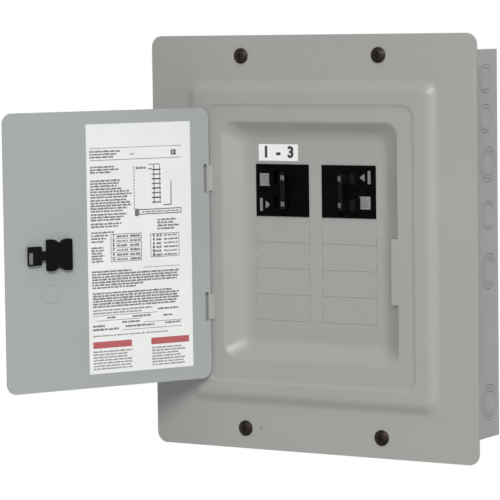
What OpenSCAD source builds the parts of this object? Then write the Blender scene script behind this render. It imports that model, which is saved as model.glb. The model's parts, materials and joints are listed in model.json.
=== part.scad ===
// Flush-mount electrical subpanel: steel box, drawn cover with a hinged door,
// two plug-in breakers and the interior that carries them.
// X runs to the right, Z up, and the front faces -Y. The origin is the middle of
// the back of the box, on the wall.

/* [Box] */
// Width of the box, outside
box_w = 307; // [302:1:320]
// Height of the box, outside
box_h = 372; // [368:1:390]
// Depth of the box, from the wall to its front flanges
box_d = 92.5; // [92:0.5:96]
// Thickness of the box sheet
box_t = 1.5; // [1.2:0.1:1.8]
// Depth of the flange along the front of each end wall
end_flange = 16; // [13:1:20]
// Depth of the return along the front of each side
side_return = 9; // [6:1:12]
// Width between the wall fixing holes
wall_hole_x = 228.6; // [222:0.2:234]
// Height between the wall fixing holes
wall_hole_z = 304.8; // [300:0.2:310]
// Diameter of the wall fixing holes
wall_hole_d = 7.2; // [6:0.2:8]

/* [Cover] */
// How far the cover reaches past each side of the box
over_x = 25.5; // [20:0.5:30]
// How far the cover reaches past each end of the box
over_z = 16; // [14:0.5:22]
// Thickness of the cover sheet
cover_t = 1.5; // [1.2:0.1:1.8]
// Corner radius of the cover
cover_r = 11; // [6:1:16]
// Width of the raised frame at the flange
raise_w = 274.5; // [270:0.5:282]
// Height of the raised frame at the flange
raise_h = 314.3; // [311:0.1:322]
// How far the frame stands out of the flange
raise = 5; // [4:0.5:6]
// Width of the frame's sloping edge
raise_run = 8.5; // [7:0.5:10]
// Drop from the top of the frame to the door seat
seat_drop = 1.4; // [1.2:0.1:1.8]
// Width of the slope from the top of the frame down to the door seat
seat_run = 3.4; // [2.4:0.1:4]
// Distance between the cover screws, across
cover_screw_x = 151.6; // [140:0.2:160]
// Distance of the cover screws from the inside of the end walls
cover_screw_in = 2.5; // [2.4:0.1:4]

/* [Recess] */
// Width of the recess at the door seat
recess_w = 194; // [190:1:197]
// Height of the recess at the door seat
recess_h = 231; // [228:0.5:235]
// How far the middle of the recess lies above the middle of the cover
recess_up = 2.7; // [1.5:0.1:4]
// Depth of the recess below the door seat
recess_d = 13.6; // [13:0.1:14.4]
// Width of the sloping sides of the recess
recess_run_x = 20; // [17:0.5:21]
// Height of the sloping ends of the recess
recess_run_z = 14.5; // [12:0.5:16]
// Width of the lip that the latch hooks behind
strike_w = 7.4; // [6.4:0.2:9]
// Length of the lip that the latch hooks behind
strike_l = 63; // [50:1:70]
// Width of the slots round the twist-out blanks
slot_w = 0.5; // [0.4:0.1:1.2]

/* [Door] */
// Width of the door
door_w = 225.4; // [222:0.2:228]
// Height of the door
door_h = 265.5; // [260:0.5:272]
// Gap between the door and the foot of the slope round it
door_gap = 0.3; // [0.2:0.1:1]
// Gap between the door and the foot of the slope at the hinge
hinge_gap = 0.8; // [0.6:0.1:1.4]
// Thickness of the door sheet
door_t = 1.5; // [1.3:0.1:1.8]
// Corner radius of the door
door_r = 10; // [6:1:14]
// Angle at which the door stands open
door_open = 117; // [90:1:135]
// Height of each hinge notch in the door
notch_h = 28; // [26:1:34]
// Distance between the middles of the hinge notches
notch_gap = 126; // [110:1:150]
// Radius of the hinge pins
pin_r = 0.8; // [0.7:0.05:0.9]
// Outside radius of the rolled edge that holds the pins
roll_r = 1.5; // [1.4:0.05:1.6]
// Outside radius of the cover's curled hinge tabs
curl_r = 1.7; // [1.6:0.1:2]
// Width of the sheet on the inside of the door
label_w = 115; // [100:1:118]
// Height of the sheet on the inside of the door
label_h = 239.6; // [220:0.2:244]

/* [Latch] */
// Width of the latch block
latch_w = 26.4; // [26:0.1:29]
// Height of the latch block
latch_h = 30; // [28:0.5:34]
// Length of the tongue
tongue_l = 14.3; // [13:0.1:15]
// Height of the tongue
tongue_h = 18; // [16:0.5:20]
// Travel of the latch
latch_travel = 5; // [4.5:0.5:6]

/* [Breakers] */
// Top of the upper breaker space above the middle of the box
stack_top = 76.9; // [74:0.1:80]
// Distance of a breaker's nose from the middle of the panel
nose_in = 7.2; // [7:0.1:9]
// Length of a breaker's nose
nose_l = 59.1; // [57:0.1:61]
// How far the nose stands out of the dead front
nose_out = 1.5; // [0.8:0.1:2.5]
// Tilt of a handle to each side of the middle
toggle_tilt = 14; // [10:1:16]
// Width of the marker over the main breaker
marker_w = 44; // [36:1:50]
// Height of the marker over the main breaker
marker_h = 16.3; // [12:0.1:18]

/* [Neutral and ground] */
// Distance of the neutral bars from the middle of the box
neutral_x = 124; // [118:1:130]
// Wire holes in each neutral bar
neutral_ways = 11; // [8:1:11]
// Wire holes in the ground bar
ground_ways = 8; // [5:1:8]

/* [Hidden] */
$fn = 64;
// Running clearance of a pin in its bore, gap between moving faces, fit of fixed pieces
run_fit = 0.06;
move_gap = 0.2;
fit = 0.3;
eps = 0.02;
// Standard width of one breaker space, and the spaces in a column
pitch = 25.4;
rows = 6;

// Depth levels, front to back
y_box = -box_d;
y_flange = y_box - cover_t;
y_plat = y_flange - raise;
y_seat = y_plat + seat_drop;
y_dead = y_seat + recess_d;
y_back = -box_t;

cover_w = box_w + 2 * over_x;
cover_h = box_h + 2 * over_z;
in_x = box_w / 2 - box_t;
in_z = box_h / 2 - box_t;
screw_z = in_z - cover_screw_in;
screw_x = cover_screw_x / 2;
screw_r = 2;

// Shape of the recess: its upper part is steep down to this share of the depth, and takes
// this share of the run
knee_depth = 0.56;
knee_run = 0.48;

// Door seat and hinge; the seat lies a little left of and below the middle of the cover
seat_w = door_w + door_gap + hinge_gap;
seat_h = door_h + 2 * door_gap;
seat_x = -1.25;
seat_z = -0.6;
seat_gap = 0.6;
door_left = seat_x - seat_w / 2 + hinge_gap;
door_right = door_left + door_w;
hinge_x = door_left + roll_r;
y_inner = y_seat - seat_gap;
y_door = y_inner - door_t;
hinge_y = y_inner - roll_r - 0.05;
curl_l = notch_h - 3;
notch_w = 7;
tab_reach = 4.6;
door_edge = hinge_x - 0.4;
lock_r = 9.4;
lock_x = door_left + 178;
lock_z = -40.5;
label_in = 22.1;
label_z = -0.35;
label_t = 0.25;

// Latch, in the closed position and drawn back
lip_x = recess_w / 2 - strike_w;
lip_top = 9;
tip_x = lip_x - fit;
latch_z = -3;
neck_l = 6.3;
neck_h = 8.5;
block_x = tip_x - tongue_l - neck_l - latch_w / 2;
y_block = y_inner + move_gap;
y_tongue = y_seat + cover_t + fit;
tongue_t = 2.7;
shank_w = 10;
shank_h = 12;

// Breaker spaces
function row_z(k) = stack_top - pitch * (k + 0.5);
pair_z = stack_top - pitch;
nose_x = nose_in + nose_l / 2;
open_w = nose_l + 2 * fit;
y_nose = y_dead - nose_out;
y_case = -24;
case_in = 4;
case_out = nose_in + nose_l + 17.2;
y_step = y_dead + cover_t + 8.5;
case_h = 2 * pitch - 2 * fit;
pivot_y = y_nose + 13.5;
hub_r = 12.5;
hub_h = 5.7;
trunnion_r = 2.5;
lever_tip = 19.5;
lever_r = 3;

// Interior levels
y_pan = -8;
pan_t = 1.5;
y_base = y_pan - pan_t;
y_bus = y_base - 4.5;
bus_t = 3;
base_x = 40;
rail_w = 3.5;
rib_h = 4;
bus_x = [19, 33];
stab_x = 11;
stab_t = 1.6;
base_head = 4;
y_stab = y_bus - bus_t;
rail_x = case_out + 1;
hook_y = -30;
pan_top = stack_top + 27;
pan_bot = stack_top - rows * pitch - 23;
bar_w = 12;
bar_y = -24;
bar_top = stack_top + 27;
bar_bot = stack_top - rows * pitch - 12.5;
term_z0 = bar_bot + 22;
strap_z = bar_top - 7;
mount_z = [bar_bot + 10, bar_top - 26];
bond_z = bar_top - 39;
gnd_z = -in_z + 39.5;
gnd_x = -66;
gnd_l = 24 + 12 * ground_ways;
gnd_front = -16;
gnd_rear = -6;
gnd_wire = -10;

steel = "#9d9b96";
paint = "#a0a19b";
door_paint = "#a5aaaa";
black = "#1b1b1d";

// Box between two corners
module block(x, y, z) {
  translate([x[0], y[0], z[0]]) cube([x[1] - x[0], y[1] - y[0], z[1] - z[0]]);
}

// Round bar along X, Y or Z
module rod_x(y, z, x, r) {
  translate([x[0], y, z]) rotate([0, 90, 0]) cylinder(r = r, h = x[1] - x[0]);
}
module rod_y(x, z, y, r) {
  translate([x, y[1], z]) rotate([90, 0, 0]) cylinder(r = r, h = y[1] - y[0]);
}
module rod_z(x, y, z, r) {
  translate([x, y, z[0]]) cylinder(r = r, h = z[1] - z[0]);
}

// Rectangle with round corners, drawn in the X-Z plane
module rounded(w, h, r) {
  square([w - 2 * r, h], center = true);
  square([w, h - 2 * r], center = true);
  for (a = [-1, 1], b = [-1, 1]) translate([a * (w / 2 - r), b * (h / 2 - r)]) circle(r);
}

// Plate from one depth to another, of an outline in the X-Z plane
module plate(y) {
  translate([0, y[1], 0]) rotate([90, 0, 0]) linear_extrude(y[1] - y[0]) children();
}

// Drawn form that tapers through rounded rectangles, each [depth, width, height, radius]
module drawn(levels) hull() for (v = levels)
  plate([v[0], v[0] + 0.01]) rounded(v[1], v[2], v[3], $fn = 32);

// Screw with a flat-topped head; the point lies at y[1], the head's seat at y[0]
module screw(x, z, y, r, head_r, head_h) {
  rod_y(x, z, [y[0] - eps, y[1]], r);
  difference() {
    rod_y(x, z, [y[0] - head_h, y[0]], head_r);
    block([x - head_r, x + head_r], [y[0] - head_h - 1, y[0] - head_h * 0.5], [z - 0.6, z + 0.6]);
  }
}

// Slits of a concentric knockout, half through the sheet, in the X-Y plane
module knockout(radii, depth) {
  for (r = radii) difference() {
    cylinder(r = r, h = depth);
    translate([0, 0, -1]) cylinder(r = r - 0.8, h = depth + 2);
  }
}
half_in = [14.1, 11.1];
one_in = [17.3, 14.1, 11.1];

module side_knockouts() {
  for (k = [[-25, 158, half_in], [-25, 120, half_in], [-20, 76, one_in],
            [-20, 28, half_in], [-20, -26, one_in], [-20, -152, one_in]])
    translate([box_w / 2, k[0], k[1]]) rotate([0, -90, 0]) translate([0, 0, -eps])
      knockout(k[2], box_t * 0.55);
}

// Back and two sides folded from one sheet, with returns along the front
module enclosure_wrap() color(steel) difference() {
  union() {
    difference() {
      translate([-box_w / 2, -box_d, -box_h / 2]) cube([box_w, box_d, box_h]);
      block([-in_x, in_x], [-box_d - 1, y_back], [-box_h, box_h]);
    }
    for (s = [-1, 1]) mirror([s < 0 ? 1 : 0, 0, 0])
      block([in_x - side_return, in_x + eps], [y_box, y_box + box_t],
            [-in_z + end_flange + 1, in_z - end_flange - 1]);
  }
  for (s = [0, 1]) mirror([s, 0, 0]) side_knockouts();
  for (a = [-1, 1], b = [-1, 1])
    rod_y(a * wall_hole_x / 2, b * wall_hole_z / 2, [y_back - 1, 1], wall_hole_d / 2);
  for (a = [-1, 1], b = [-1, 1]) rod_y(a * pan_x, pan_zs[b > 0 ? 1 : 0], [y_back - 1, 1], screw_r + 0.05);
  rod_y(-neutral_x, bond_z, [y_back - 1, 1], screw_r + 0.55);
  for (x = gnd_feet) rod_y(x, gnd_z, [y_back - 1, 1], screw_r + 0.05);
  for (a = [-1, 1], z = mount_z) rod_y(a * neutral_x, z, [y_back - 1, 1], screw_r + 0.05);
}

// One end of the box: plate, front flange and two weld tabs, drawn for the top
module end_wall(holes) difference() {
  union() {
    block([-in_x, in_x], [y_box, y_back], [in_z, in_z + box_t]);
    block([-in_x, in_x], [y_box, y_box + box_t], [in_z - end_flange, in_z + eps]);
    for (a = [-1, 1]) mirror([a < 0 ? 1 : 0, 0, 0])
      block([in_x - box_t, in_x], [y_box + 12, y_back - 8], [in_z - 12, in_z + eps]);
  }
  for (a = [-1, 1]) rod_y(a * screw_x, screw_z, [y_box - 1, y_box + box_t + 1], screw_r + 0.05);
  for (k = holes) translate([k[0], k[1], in_z + box_t + eps]) mirror([0, 0, 1])
    knockout(k[2], box_t * 0.55);
}

module top_end_wall() color(steel)
  end_wall([[-105, -42, half_in], [-55, -42, one_in], [0, -42, one_in], [55, -42, one_in], [105, -42, half_in]]);

module bottom_end_wall() color(steel) mirror([0, 0, 1])
  end_wall([[-105, -42, half_in], [-40, -42, one_in], [40, -42, one_in], [105, -42, half_in]]);

// Slits round one column of twist-out blanks, held by a tie at each side
module twist_outs() {
  x0 = nose_in - fit;
  x1 = x0 + open_w;
  for (k = [2:rows - 1]) {
    z = row_z(k);
    block([x0, x1], [y_dead - 1, y_dead + cover_t + 1], [z - pitch / 2 - slot_w / 2, z - pitch / 2 + slot_w / 2]);
    for (e = [[x0, 1.6], [x1 - slot_w, 3.5]], b = [-1, 1])
      block([e[0], e[0] + slot_w], [y_dead - 1, y_dead + cover_t + 1],
            [z + (b < 0 ? -pitch / 2 : e[1]), z + (b < 0 ? -e[1] : pitch / 2)]);
  }
}

// Tab of the cover, lifted out of the seat and curled round a hinge pin
module hinge_curl(z) translate([0, 0, z - curl_l / 2]) {
  rod_z(hinge_x, hinge_y, [0, curl_l], curl_r);
  linear_extrude(curl_l) polygon([
    [hinge_x, hinge_y], [hinge_x + curl_r * 0.8, hinge_y - curl_r * 0.45],
    [hinge_x + tab_reach, y_seat - cover_t * 0.4], [hinge_x + tab_reach, y_seat + cover_t * 0.5],
    [hinge_x - curl_r * 0.3, y_seat + cover_t * 0.5]
  ]);
}

// The cover is one drawn sheet: each form is its front less the same form moved back
// by the thickness of the sheet.
module cover_trim() color(paint) {
  difference() {
    union() {
      difference() {
        union() {
          plate([y_flange, y_box]) rounded(cover_w, cover_h, cover_r);
          raised_form();
        }
        translate([0, cover_t, 0]) raised_form();
      }
      translate([seat_x, 0, seat_z]) plate([y_seat - seat_drop / 2, y_seat + cover_t])
        rounded(seat_w + 2 * seat_run + cover_t, seat_h + 2 * seat_run + cover_t, door_r + seat_run + cover_t / 2);
      translate([0, cover_t, recess_up]) recess_form();
    }
    translate([seat_x, 0, seat_z]) seat_form();
    translate([0, 0, recess_up]) recess_form();
    for (s = [-1, 1]) translate([s * nose_x, 0, pair_z]) plate([y_dead - 1, y_dead + cover_t + 1])
      rounded(open_w, 2 * pitch, 0.8);
    for (s = [0, 1]) mirror([s, 0, 0]) twist_outs();
    for (a = [-1, 1], b = [-1, 1]) rod_y(a * screw_x, b * screw_z, [y_flange - 1, y_box + 1], screw_r + 0.4);
    rod_y(-screw_x + 17.2, -screw_z, [y_flange - 1, y_box + 1], 1.5);
    block([lip_x - 3, recess_w / 2 + 2], [y_seat + cover_t, y_seat + 9], [lip_top - strike_l, lip_top]);
  }
  block([lip_x, recess_w / 2 + 1.5], [y_seat, y_seat + cover_t], [lip_top - strike_l, lip_top]);
  for (b = [-1, 1]) difference() {
    hinge_curl(b * notch_gap / 2);
    rod_z(hinge_x, hinge_y, [b * notch_gap / 2 - notch_h, b * notch_gap / 2 + notch_h], pin_r + run_fit);
  }
}

// Raised frame, carried a little below the front of the flange
module raised_form() {
  sink = 0.75;
  out = 2 * raise_run * sink / raise;
  drawn([[y_plat, raise_w - 2 * raise_run, raise_h - 2 * raise_run, 6],
         [y_flange + sink, raise_w + out, raise_h + out, 13]]);
}

// Shallow pocket of the door seat, with its soft slope carried above the frame
module seat_form() {
  lead = 0.5;
  out = 2 * seat_run * (1 + lead / seat_drop);
  drawn([[y_plat - lead, seat_w + out, seat_h + out, door_r + out / 2],
         [y_seat - 0.01, seat_w, seat_h, door_r]]);
}

// Recess of the dead front, with its steep upper slope carried above the seat
module recess_form() {
  lead = 0.3;
  kx = recess_run_x * knee_run;
  kz = recess_run_z * knee_run;
  ox = kx * lead / (recess_d * knee_depth);
  oz = kz * lead / (recess_d * knee_depth);
  drawn([[y_seat - lead, recess_w + 2 * ox, recess_h + 2 * oz, 13],
         [y_seat + recess_d * knee_depth, recess_w - 2 * kx, recess_h - 2 * kz, 11],
         [y_dead - 0.01, recess_w - 2 * recess_run_x, recess_h - 2 * recess_run_z, 8]]);
}

// Round-headed cover screws with a cross slot
module cover_screws() color("#2a2420")
  for (a = [-1, 1], b = [-1, 1]) translate([a * screw_x, y_flange, b * screw_z]) rotate([90, 0, 0])
    difference() {
      union() {
        translate([0, 0, -24]) cylinder(r = screw_r, h = 24 + eps);
        rotate_extrude() intersection() {
          translate([0, -9.4]) circle(13, $fn = 96);
          square([7.5, 4]);
        }
      }
      for (t = [0, 90]) rotate([0, 0, t]) translate([-3.2, -0.7, 1.8]) cube([6.4, 1.4, 3]);
    }

module main_marker() color("white")
  block([-nose_in - nose_l + 3.5, -nose_in - nose_l + 3.5 + marker_w], [y_dead - 0.4, y_dead],
        [stack_top + 3.1, stack_top + 3.1 + marker_h]);

// Interior pan: plate on four feet, with a rail of hooks for each column of breakers
pan_x = 70;
pan_zs = [row_z(5) - 22, row_z(0) + 22];
module interior_pan() color("#b8bab8") difference() {
  union() {
    block([-rail_x - pan_t, rail_x + pan_t], [y_pan - pan_t, y_pan], [pan_bot, pan_top]);
    for (s = [0, 1]) mirror([s, 0, 0]) {
      block([rail_x, rail_x + pan_t], [hook_y, y_pan], [row_z(5) - 11, row_z(0) + 11]);
      for (k = [0:rows - 1])
        block([rail_x - 4.5, rail_x + eps], [hook_y, hook_y + 1.5], [row_z(k) - 5, row_z(k) + 5]);
    }
    for (a = [-1, 1], z = pan_zs) rod_y(a * pan_x, z, [y_pan - eps, y_back], 7);
  }
  for (a = [-1, 1], z = pan_zs) rod_y(a * pan_x, z, [y_pan - 4, 1], screw_r + 0.1);
  for (z = base_zs) rod_y(0, z, [y_pan - 4, 1], screw_r + 0.05);
  for (s = [-1, 1]) translate([s * 56, 0, stack_top - rows * pitch / 2]) plate([y_pan - 4, y_pan + 1])
    rounded(18, 110, 6);
  rod_x(-20, pair_z, [-rail_x - 4, -rail_x + 2], screw_r * 0.9 + 0.05);
}

module pan_screws() color("#c9cccc")
  for (a = [-1, 1], z = pan_zs) screw(a * pan_x, z, [y_base, -0.3], screw_r, 4.5, 3);

// Insulating base: plate, outer rails that the breakers rest on, and a barrier between spaces
base_zs = [stack_top - rows * pitch - rib_h / 2 - base_head - 1, stack_top + rib_h / 2 + base_head + 1];
bus_zs = [stack_top - pitch * 5, stack_top - pitch];
module bus_base() color("#2b2b2e") difference() {
  union() {
    block([-base_x, base_x], [y_bus, y_base], [base_zs[0] - base_head - 2, base_zs[1] + base_head + 2]);
    for (s = [0, 1]) mirror([s, 0, 0])
      block([base_x - rail_w, base_x], [y_case, y_bus + eps],
            [stack_top - rows * pitch - rib_h / 2, stack_top + rib_h / 2]);
    for (k = [0:rows]) block([-bus_x[0] + 3, bus_x[0] - 3], [y_case, y_bus + eps],
                             [stack_top - pitch * k - rib_h / 2, stack_top - pitch * k + rib_h / 2]);
  }
  for (z = base_zs) rod_y(0, z, [y_bus - 1, y_base + 1], screw_r + 0.1);
  for (s = [-1, 1], z = bus_zs) rod_y(s * bus_mid, z, [y_bus - 1, y_base - 1], screw_r + 0.05);
}

module base_screws() color("#c9cccc")
  for (z = base_zs) screw(0, z, [y_bus, y_pan + 1.2], screw_r, base_head, 2.6);

// Bus bar: upright, a finger to the middle for every other space, and a stab on each finger
bus_mid = (bus_x[0] + bus_x[1]) / 2;
y_tip = y_case - 12;
module bus_bar(first) difference() {
  union() {
    block(bus_x, [y_stab, y_bus], [row_z(5) - 8, row_z(0) + 8]);
    for (k = [first:2:rows - 1]) {
      block([-stab_x, bus_x[0] + eps], [y_stab, y_bus], [row_z(k) - 6, row_z(k) + 6]);
      block([-stab_x, stab_x], [y_tip, y_stab + eps], [row_z(k) - stab_t / 2, row_z(k) + stab_t / 2]);
    }
  }
  for (z = bus_zs) rod_y(bus_mid, z, [y_stab - 1, y_bus + 1], screw_r + 0.3);
}
module bus_bar_a() color("#c8c9c4") mirror([1, 0, 0]) bus_bar(0);
module bus_bar_b() color("#c8c9c4") bus_bar(1);
module bus_screws() color("#c9cccc")
  for (s = [-1, 1], z = bus_zs) screw(s * bus_mid, z, [y_stab, y_base - 1.5], screw_r, 4.5, 2.8);

// Neutral bars, their posts, screws, strap and lug
module neutral_supports() color("#e6e3da")
  for (a = [-1, 1], z = mount_z) difference() {
    translate([a * neutral_x, 0, z]) plate([bar_y, y_back]) rounded(16, 16, 3);
    rod_y(a * neutral_x, z, [bar_y - 1, 1], screw_r + 0.05);
  }

function term_z(i) = term_z0 + 12 * i;
module neutral_bar(bond) difference() {
  block([-bar_w / 2, bar_w / 2], [bar_y - bar_w, bar_y], [bar_bot, bar_top]);
  for (i = [0:neutral_ways - 1]) {
    rod_x(bar_y - 5, term_z(i), [-bar_w, bar_w], 3);
    rod_y(0, term_z(i), [bar_y - bar_w - 1, bar_y - 5], 2.2);
  }
  for (z = mount_z) rod_y(0, z, [bar_y - bar_w - 1, bar_y + 1], screw_r + 0.1);
  rod_y(0, strap_z, [bar_y - bar_w - 1, bar_y - 3], screw_r + 0.05);
  if (bond) rod_y(0, bond_z, [bar_y - bar_w - 1, bar_y + 1], screw_r + 0.55);
}
module neutral_bar_left() color("#c3c6c8") translate([-neutral_x, 0, 0]) neutral_bar(true);
module neutral_bar_right() color("#c3c6c8") translate([neutral_x, 0, 0]) neutral_bar(false);
module neutral_screws() color("#d2d2cc")
  for (a = [-1, 1], i = [0:neutral_ways - 1])
    screw(a * neutral_x, term_z(i), [bar_y - bar_w, bar_y - 6.5], 2.15, 3.4, 2.6);
module neutral_mount_screws() color("#c9cccc")
  for (a = [-1, 1], z = mount_z) screw(a * neutral_x, z, [bar_y - bar_w, -0.3], screw_r, 3.4, 2.4);
module neutral_strap() color("#c3c6c8") difference() {
  block([-neutral_x - bar_w / 2, neutral_x + bar_w / 2], [bar_y - bar_w - 2, bar_y - bar_w],
        [strap_z - 5, strap_z + 5]);
  for (a = [-1, 1]) rod_y(a * neutral_x, strap_z, [bar_y - bar_w - 3, bar_y], screw_r + 0.2);
}
module strap_screws() color("#c9cccc")
  for (a = [-1, 1]) screw(a * neutral_x, strap_z, [bar_y - bar_w - 2, bar_y - 4], screw_r, 4, 2.6);
module neutral_lug() color("#b9bcbe") difference() {
  block([neutral_x - 11, neutral_x + 11], [bar_y - 22, bar_y], [bar_bot - 22, bar_bot]);
  rod_z(neutral_x, bar_y - 9, [bar_bot - 23, bar_bot - 6], 6.5);
  rod_y(neutral_x, bar_bot - 13, [bar_y - 23, bar_y - 9], 5.05);
}
module lug_screw() color("#8f9294") difference() {
  rod_y(neutral_x, bar_bot - 13, [bar_y - 25, bar_y - 14], 5);
  translate([neutral_x, bar_y - 20, bar_bot - 13]) rotate([90, 0, 0]) cylinder(r = 2.9, h = 6, $fn = 6);
}
module bonding_screw() color("#2f7d43") screw(-neutral_x, bond_z, [bar_y - bar_w, -0.3], screw_r + 0.5, 4.5, 3);

// Ground bar on two feet
gnd_feet = [gnd_x + 8, gnd_x + gnd_l - 8];
function gnd_way(i) = gnd_x + 18 + 12 * i;
module ground_bar() color("#c3c6c8") difference() {
  union() {
    block([gnd_x, gnd_x + gnd_l], [gnd_front, gnd_rear], [gnd_z - 5, gnd_z + 5]);
    for (x = gnd_feet) rod_y(x, gnd_z, [gnd_rear - eps, y_back], 5);
  }
  for (i = [0:ground_ways - 1]) {
    rod_z(gnd_way(i), gnd_wire, [gnd_z - 6, gnd_z + 6], 2.6);
    rod_y(gnd_way(i), gnd_z, [gnd_front - 1, gnd_wire], 2.2);
  }
  for (x = gnd_feet) rod_y(x, gnd_z, [gnd_front - 1, 1], screw_r + 0.1);
}
module ground_screws() color("#5f8f68")
  for (i = [0:ground_ways - 1]) screw(gnd_way(i), gnd_z, [gnd_front, gnd_wire - 1], 2.15, 3.4, 2.4);
module ground_mount_screws() color("#c9cccc")
  for (x = gnd_feet) screw(x, gnd_z, [gnd_front, -0.3], screw_r, 3.4, 2.6);

// Two-pole plug-in breaker, drawn for the right-hand column
module case_profile() polygon([
  [case_in, y_case], [case_in, y_step - 2], [nose_in, y_step - 2], [nose_in, y_nose + 1],
  [nose_in + 1, y_nose], [nose_in + nose_l - 1, y_nose], [nose_in + nose_l, y_nose + 1],
  [nose_in + nose_l, y_step], [case_out, y_step], [case_out, hook_y - 1],
  [case_out - 4, hook_y - 1], [case_out - 4, hook_y + 2.5], [case_out, hook_y + 2.5], [case_out, y_case]
]);

module breaker_case() difference() {
  union() {
    translate([0, 0, pair_z - case_h / 2]) linear_extrude(case_h) case_profile();
    for (b = [-1, 1]) translate([nose_x, 0, pair_z + b * pitch / 2]) plate([y_nose - 1.2, y_nose + 1])
      rounded(27, 18, 3);
  }
  block([case_in - 1, case_out + 1], [y_nose - 1, y_nose + 0.6], [pair_z - 0.3, pair_z + 0.3]);
  for (b = [-1, 1]) translate([0, 0, pair_z + b * pitch / 2]) {
    rod_z(nose_x, pivot_y, [-hub_h - fit, hub_h + fit], hub_r + 0.4);
    block([nose_x - 8.2, nose_x + 8.2], [y_nose - 2, pivot_y], [-hub_h - fit, hub_h + fit]);
    rod_z(nose_x, pivot_y, [-11, 11], trunnion_r + run_fit);
    block([case_in - 1, jaw_x[1] + 1], [y_jaw, y_case + 1], [-5, 5]);
    block([case_out - 14.5, case_out + 1], [y_step - 1, y_step + 14], [-6, 6]);
  }
}

// Clip that grips a stab: two leaves joined by a bridge
jaw_x = [case_in + 1, stab_x + 3];
y_jaw = y_tip - 2.5;
module breaker_jaws()
  for (b = [-1, 1]) translate([0, 0, pair_z + b * pitch / 2]) {
    for (s = [0, 1]) mirror([0, 0, s]) block(jaw_x, [y_jaw, y_case - 2], [stab_t / 2, stab_t / 2 + 1]);
    block(jaw_x, [y_jaw, y_jaw + 1.5], [-stab_t / 2 - 0.2, stab_t / 2 + 0.2]);
  }

module breaker_terminals()
  for (b = [-1, 1]) translate([0, 0, pair_z + b * pitch / 2]) difference() {
    block([case_out - 14.5, case_out - 1.5], [y_step + 4, y_step + 14], [-6, 6]);
    rod_x(y_step + 9.5, 0, [case_out - 12, case_out], 3.4);
    rod_y(case_out - 7.5, 0, [y_step + 3, y_step + 9.5], 2.6);
  }

module breaker_terminal_screws()
  for (b = [-1, 1]) screw(case_out - 7.5, pair_z + b * pitch / 2, [y_step + 4, y_step + 8], 2.55, 4.2, 3);

module tilted() translate([nose_x, pivot_y, pair_z]) rotate([0, 0, -toggle_tilt]) children();

// Handle: hub on two trunnions, with a tapered lever
module breaker_toggles() tilted()
  for (b = [-1, 1]) translate([0, 0, b * pitch / 2]) {
    rod_z(0, 0, [-hub_h, hub_h], hub_r);
    rod_z(0, 0, [-10.7, 10.7], trunnion_r);
    translate([0, 0, -5]) linear_extrude(10) {
      polygon([[-4.2, -10], [4.2, -10], [lever_r, -lever_tip], [-lever_r, -lever_tip]]);
      translate([0, -lever_tip]) circle(lever_r - 0.01);
    }
  }

module breaker_tie() tilted()
  block([-2.4, 2.4], [-lever_tip - 2, -17], [-pitch / 2 + 5, pitch / 2 - 5]);

module left() mirror([1, 0, 0]) children();
module main_breaker_case() color(black) left() breaker_case();
module main_breaker_jaws() color("#c98f4e") left() breaker_jaws();
module main_terminals() color("#b9bcbe") left() breaker_terminals();
module main_terminal_screws() color("#c9cccc") left() breaker_terminal_screws();
module main_toggles() color(black) left() breaker_toggles();
module main_handle_tie() color(black) left() breaker_tie();
module branch_breaker_case() color(black) breaker_case();
module branch_breaker_jaws() color("#c98f4e") breaker_jaws();
module branch_terminals() color("#b9bcbe") breaker_terminals();
module branch_terminal_screws() color("#c9cccc") breaker_terminal_screws();
module branch_toggles() color(black) breaker_toggles();
module branch_handle_tie() color(black) breaker_tie();

// Clip on the outside of the rail that holds the main breaker down
module main_hold_down() color("#c0c2c0") left() difference() {
  x1 = rail_x + pan_t;
  union() {
    block([x1, x1 + 1.2], [y_step - 1.2, -12], [pair_z - 6, pair_z + 6]);
    block([case_out - 6, x1 + 1.2], [y_step - 1.2, y_step], [pair_z - 6, pair_z + 6]);
  }
  rod_x(-20, pair_z, [x1 - 1, x1 + 3], screw_r * 0.9 + 0.1);
}
module hold_down_screw() color("#c9cccc") left() {
  x1 = rail_x + pan_t + 1.2;
  rod_x(-20, pair_z, [rail_x - 0.8, x1 + eps], screw_r * 0.9);
  difference() {
    rod_x(-20, pair_z, [x1, x1 + 2.4], 3.6);
    block([x1 + 1.2, x1 + 4], [-24, -16], [pair_z - 0.5, pair_z + 0.5]);
  }
}

// Pieces of the door are drawn closed and swung open about the hinge
module swung() translate([hinge_x, hinge_y, 0]) rotate([0, 0, -door_open]) translate([-hinge_x, -hinge_y, 0])
  children();

module door_panel() color(door_paint) swung() difference() {
  w = door_right - door_edge;
  union() {
    translate([(door_right + door_edge) / 2, 0, seat_z]) plate([y_door, y_inner]) rounded(w, door_h, door_r);
    rod_z(hinge_x, hinge_y, [seat_z - door_h / 2 + door_r + 1, seat_z + door_h / 2 - door_r - 1], roll_r);
  }
  rod_z(hinge_x, hinge_y, [-door_h, door_h], pin_r + 0.02);
  for (b = [-1, 1]) block([door_left - 2, door_left + notch_w], [hinge_y - roll_r - 1, y_inner + 1],
                          [b * notch_gap / 2 - notch_h / 2, b * notch_gap / 2 + notch_h / 2]);
  block([block_x - shank_w / 2 - move_gap, block_x + shank_w / 2 + latch_travel + move_gap],
        [y_door - 1, y_inner + 1], [latch_z - shank_h / 2 - move_gap, latch_z + shank_h / 2 + move_gap]);
  translate([lock_x, y_inner - 0.35, lock_z]) rotate([-90, 0, 0]) knockout([lock_r], 1);
}

module hinge_pins() color("#8c8f92") swung() for (b = [-1, 1])
  rod_z(hinge_x, hinge_y, [b * notch_gap / 2 - notch_h / 2 - 9, b * notch_gap / 2 + notch_h / 2 + 9], pin_r);

module door_label() color("white") swung()
  block([door_left + label_in, door_left + label_in + label_w], [y_inner, y_inner + label_t],
        [label_z - label_h / 2, label_z + label_h / 2]);

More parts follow.
